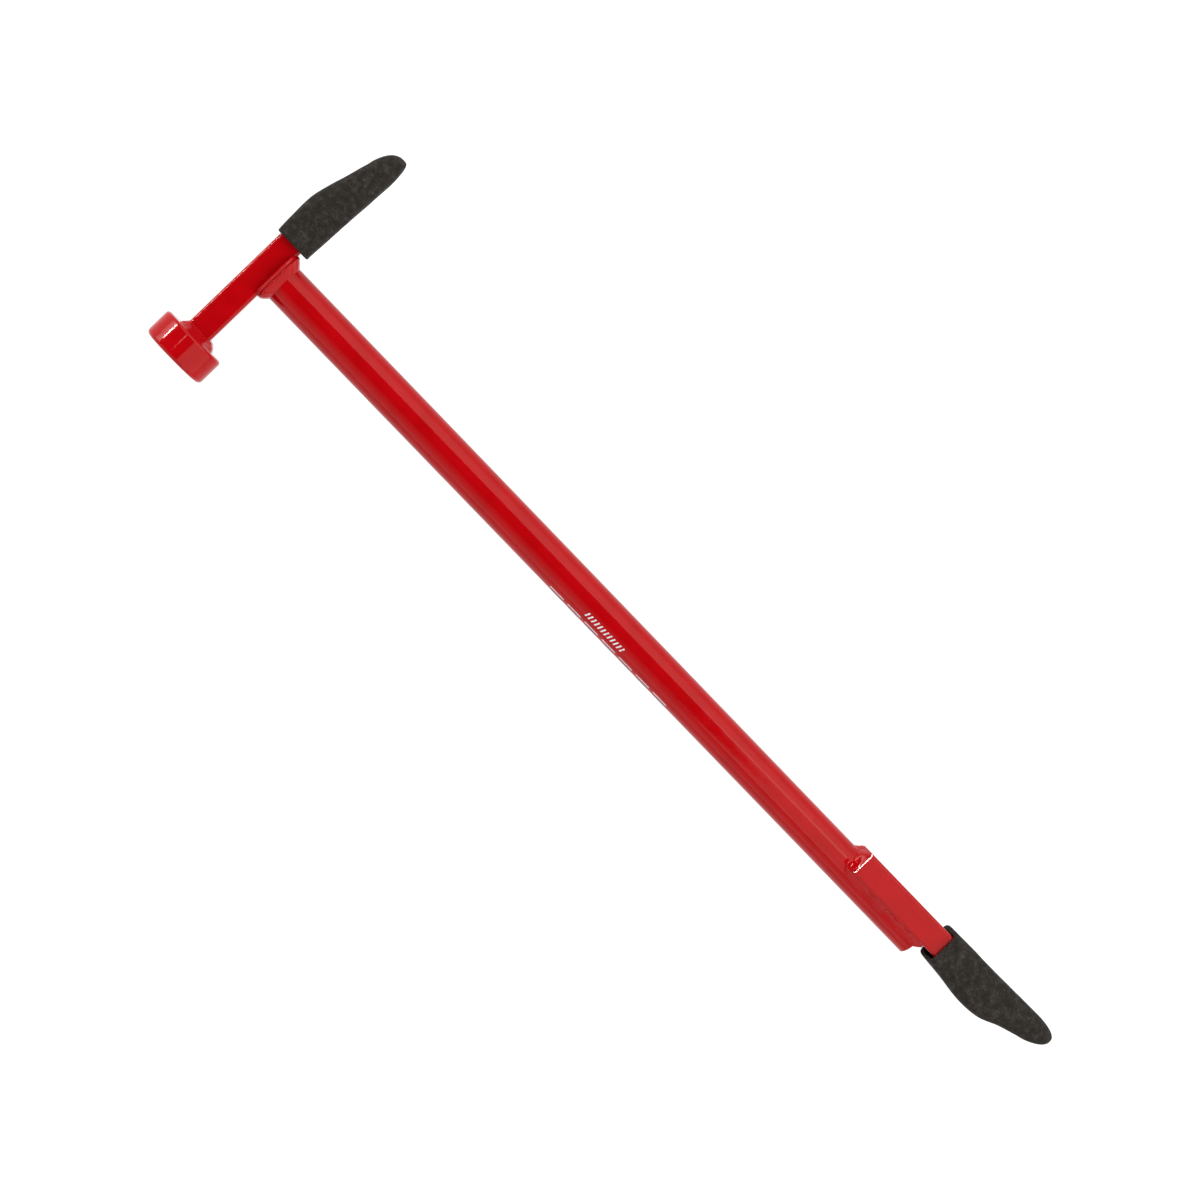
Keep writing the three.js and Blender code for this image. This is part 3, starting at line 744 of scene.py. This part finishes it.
def cap_rings(spec, seed):
    """All rings of a cap from the tip over the mouth's rim to the end of the hollow."""
    stations = spec["stations"]
    nose_u, nose_low, nose_high = stations[-1]
    tip_u, tip_v = spec["tip"]
    flat = 0.3  # half the width of a small flat at the very tip
    rings = [cap_section(tip_u, tip_v - flat, tip_v + flat, flat, power=2)]
    nose_steps = 22
    for i in range(nose_steps - 1, 0, -1):
        angle = math.radians(90) * i / nose_steps
        shrink = math.cos(angle)
        u = nose_u + (tip_u - nose_u) * math.sin(angle)
        low = tip_v + (nose_low - tip_v) * (1 - math.sin(angle) ** spec["low_ease"]) ** spec["low_power"]
        high = tip_v + (nose_high - tip_v) * shrink ** spec["high_power"]
        power = TIP_POWER + (NOSE_POWER - TIP_POWER) * shrink
        rings.append(cap_section(u, low, high, NOSE_HALF_DEPTH * shrink ** 0.8, power))
    steps = 64
    for i in range(steps, -1, -1):
        u = RIM_ROUND + (nose_u - RIM_ROUND) * i / steps
        along = u / nose_u
        depth = MOUTH_HALF_DEPTH + (NOSE_HALF_DEPTH - MOUTH_HALF_DEPTH) * along ** 2
        power = MOUTH_POWER + (NOSE_POWER - MOUTH_POWER) * along
        low, high = (blend_values(stations, u, column) for column in (1, 2))
        lean = spec["lean"] * max(0, 1 - u / LEAN_LENGTH)
        rings.append(cap_section(u, low, high, depth, power, lean))
    mouth_low, mouth_high = stations[0][1:]
    lean = spec["lean"]
    for turn in quarter_turn(5)[1:]:
        inset = RIM_ROUND * (1 - math.cos(turn))
        u = RIM_ROUND * (1 - math.sin(turn))
        rings.append(cap_section(u, mouth_low + inset, mouth_high - inset,
                                 MOUTH_HALF_DEPTH - inset, MOUTH_POWER, lean))
    hollow_depth = HALF + CAP_WALL_GAP
    low, high = spec["hollow_low"], spec["hollow_high"]
    for turn in quarter_turn(4):
        inset = LIP_ROUND * (1 - math.sin(turn))
        u = LIP_ROUND * (1 - math.cos(turn))
        rings.append(cap_section(u, low - inset, high + inset, hollow_depth + inset, HOLLOW_POWER, lean))
    bend, end = spec["hollow_bend"], spec["hollow_end"]
    for u in (6, 15, bend):  # closer rings where a leaning mouth straightens out
        straightening = lean * max(0, 1 - u / LEAN_LENGTH)
        rings.append(cap_section(u, low, high, hollow_depth, HOLLOW_POWER, straightening))
    taper_steps = 4
    for i in range(1, taper_steps + 1):
        t = i / taper_steps
        rings.append(cap_section(bend + (end - bend) * t, low + (spec["hollow_end_low"] - low) * t, high,
                                 hollow_depth, HOLLOW_POWER))
    outside = nose_steps + steps
    swollen = [[(u,
                 v + CAP_LUMP * lump(u, v, w, size=14, seed=seed),
                 w + CAP_LUMP * lump(u, v, w, size=16, seed=seed + 1)) for u, v, w in ring]
               for ring in rings[:outside]]
    return swollen + rings[outside:]


def make_cap(name, spec, body, to_datum, node, seed):
    """A hollow rubber cap. to_datum turns a point of the cap's own rings into one from the datum."""
    rings = [[to_datum(*point) for point in ring] for ring in cap_rings(spec, seed)]
    piece = add_object(name, skin(rings), body, 70)
    piece.data.materials.append(RUBBER)
    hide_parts(node)
    return piece


PICK_MOUTH = local(PICK_CAP_HIGH).y - PICK_CAP["tip"][0]
CHISEL_MOUTH = local(CHISEL_CAP_HIGH).x - CHISEL_CAP["tip"][0]
make_cap("pick_guard", PICK_CAP, "pick_cap", lambda u, v, w: (v, PICK_MOUTH + u, -w),
         "pick_cap", seed=50)
make_cap("chisel_guard", CHISEL_CAP, "chisel_cap", lambda u, v, w: (CHISEL_MOUTH + u, HALF + v, HALF + w),
         "chisel_cap", seed=60)


# ---- Printed graphic on the handle -------------------------------------------------------------

PRINT_SKIN = 0.07  # how far the ink stands off the paint
PRINT_SUNK = 0.3  # how far the tile's hidden side lies under it
PRINT_STEPS = 6


def print_mark(bm, x_from, width, angles, lean=0.0):
    """One printed bar: a thin curved tile on the handle. The angles are in degrees from straight up."""
    steps = PRINT_STEPS
    outer, inner = [], []
    for i in range(steps + 1):
        for j in range(steps + 1):
            angle = math.radians(angles[0] + (angles[1] - angles[0]) * j / steps)
            x = x_from + width * i / steps + lean * j / steps
            for radius, points in ((TUBE_R + PRINT_SKIN, outer), (TUBE_R - PRINT_SUNK, inner)):
                points.append(bm.verts.new((x, radius * math.sin(angle), radius * math.cos(angle))))
    stride = steps + 1
    for i in range(steps):
        for j in range(steps):
            k = i * stride + j
            for points in (outer, inner):
                bm.faces.new((points[k], points[k + 1], points[k + stride + 1], points[k + stride]))
    border = [i * stride for i in range(steps + 1)]
    border += [steps * stride + j for j in range(1, stride)]
    border += [i * stride + steps for i in range(steps - 1, -1, -1)]
    border += list(range(steps - 1, 0, -1))
    for a, b in zip(border, border[1:] + border[:1]):
        bm.faces.new((outer[a], outer[b], inner[b], inner[a]))


def make_small_print():
    """A short row of leaning bars on the upper left of the handle."""
    bm = bmesh.new()
    start, pitch = 319, 3.1
    for i in range(12):
        print_mark(bm, start + i * pitch, width=1.2, angles=(-42, -25), lean=1.4)
    piece = add_object("print_small", bm, "tool", 40)
    piece.data.materials.append(WHITE)


def make_large_print():
    """A longer row of grey blocks with thin white rules above, on the handle's far left side."""
    blocks, rules = bmesh.new(), bmesh.new()
    start, pitch = 288, 17.0
    for i in range(7):
        x = start + i * pitch
        print_mark(blocks, x, width=9.5, angles=(-122, -72), lean=5.0)
        print_mark(rules, x + 1, width=13, angles=(-64, -60))
    for name, bm, ink in (("print_blocks", blocks, GREY), ("print_rules", rules, WHITE)):
        add_object(name, bm, "tool", 40).data.materials.append(ink)


make_small_print()
make_large_print()


# ---- Floor, light and camera ----------------------------------------------------------------------

FLOOR_SIZE = 60  # metres
FLOOR_GAP = 0.2 * MM  # below the tool
WORLD_GREY = 0.08
PANEL_DISTANCE = 5  # metres, as are the lengths
SIDE_LENGTH = 10
STRIP_LENGTH = 0.9
RIGHT_PANELS = ((28, 3.2), (43, 3.1), (58, 2.6), (73, 1.6))  # (nearest angle, brightness)
RIGHT_SPAN = 15  # degrees covered by each
LEFT_STRIPS = 12
LEFT_NEAREST = 26  # where the highest strip begins
LEFT_SPAN = 5
LEFT_FAINTEST = 0.2  # brightness of the highest strip
LEFT_RISE = 2.1  # from there to the lowest


def make_floor():
    bpy.ops.mesh.primitive_plane_add(size=FLOOR_SIZE, location=(0, 0, CAD_BOX[0].z - FLOOR_GAP))
    floor = bpy.context.object
    floor.name = "floor"
    floor.data.materials.append(pale_floor())


def light_panel(name, azimuth, nearest, lowest, length, brightness, distance=PANEL_DISTANCE):
    """A flat panel that faces the tool. azimuth is its bearing from +X towards +Y, and it spans the
    angles nearest to lowest, measured down from straight above. All angles are in degrees, and
    brightness is the panel's radiance."""
    bearing = math.radians(azimuth)
    away = Vector((math.cos(bearing), math.sin(bearing), 0))

    def edge(angle):
        angle = math.radians(angle)
        return distance * (math.sin(angle) * away + math.cos(angle) * Vector((0, 0, 1)))

    near, far = edge(nearest), edge(lowest)
    across = (near - far).normalized()
    along = Vector((0, 0, 1)).cross(away)
    out = along.cross(across)
    if out.dot(near) < 0:
        along, out = -along, -out
    data = bpy.data.lights.new(name, "AREA")
    data.shape = "RECTANGLE"
    data.size = length
    data.size_y = (near - far).length
    data.energy = brightness * math.pi * data.size * data.size_y
    lamp = bpy.data.objects.new(name, data)
    facing = Matrix((along, across, out)).transposed().to_4x4()
    lamp.matrix_world = Matrix.Translation((near + far) / 2) @ facing
    lamp.visible_camera = False
    bpy.context.scene.collection.objects.link(lamp)


def make_light():
    """Soft panels on both sides and past both ends, with two narrow strips for sharp highlights."""
    world = bpy.data.worlds.new("studio")
    bpy.context.scene.world = world
    world.use_nodes = True
    background = world.node_tree.nodes["Background"]
    background.inputs["Color"].default_value = (WORLD_GREY, WORLD_GREY, WORLD_GREY, 1)
    for i, (nearest, brightness) in enumerate(RIGHT_PANELS):
        light_panel(f"panel_right_{i}", 90, nearest, nearest + RIGHT_SPAN, SIDE_LENGTH, brightness)
    for i in range(LEFT_STRIPS):
        nearest = LEFT_NEAREST + LEFT_SPAN * i
        brightness = LEFT_FAINTEST + LEFT_RISE * i / (LEFT_STRIPS - 1)
        light_panel(f"panel_left_{i}", -90, nearest, nearest + LEFT_SPAN, SIDE_LENGTH, brightness)
    light_panel("panel_foot", 0, 11.8, 89, length=9, brightness=2.4, distance=6)
    light_panel("panel_head_high", 180, 69, 79, length=5, brightness=9)
    light_panel("panel_head_low", 180, 79, 88, length=5, brightness=5)
    light_panel("strip_head", 180, 64.6, 68.4, STRIP_LENGTH, brightness=130)
    light_panel("strip_head_faint", 180, 20.5, 22, STRIP_LENGTH, brightness=14)


CAMERA_DISTANCE = 2.0  # metres
CAMERA_TILT = math.radians(6.3)
CAMERA_ROLL = math.radians(46.03)
CAMERA_LENS = 87.18
CAMERA_SENSOR = 36
CAMERA_AIM = (320.35, 5.2, 0)  # millimetres from the datum


def make_camera():
    """Looks down on the tool from over the head end, turned so that the handle runs down to the right."""
    data = bpy.data.cameras.new("camera")
    data.lens = CAMERA_LENS
    data.sensor_width = CAMERA_SENSOR
    camera = bpy.data.objects.new("camera", data)
    back = Vector((-math.sin(CAMERA_TILT), 0, math.cos(CAMERA_TILT)))
    down_handle = Vector((math.cos(CAMERA_TILT), 0, math.sin(CAMERA_TILT)))
    along_head = Vector((0, 1, 0))
    right = math.cos(CAMERA_ROLL) * down_handle + math.sin(CAMERA_ROLL) * along_head
    up = math.cos(CAMERA_ROLL) * along_head - math.sin(CAMERA_ROLL) * down_handle
    basis = Matrix((right, up, back)).transposed().to_4x4()
    camera.matrix_world = Matrix.Translation(place(*CAMERA_AIM) + back * CAMERA_DISTANCE) @ basis
    bpy.context.scene.collection.objects.link(camera)
    bpy.context.scene.camera = camera


make_floor()
make_light()
make_camera()
bpy.context.scene.view_settings.view_transform = "Standard"
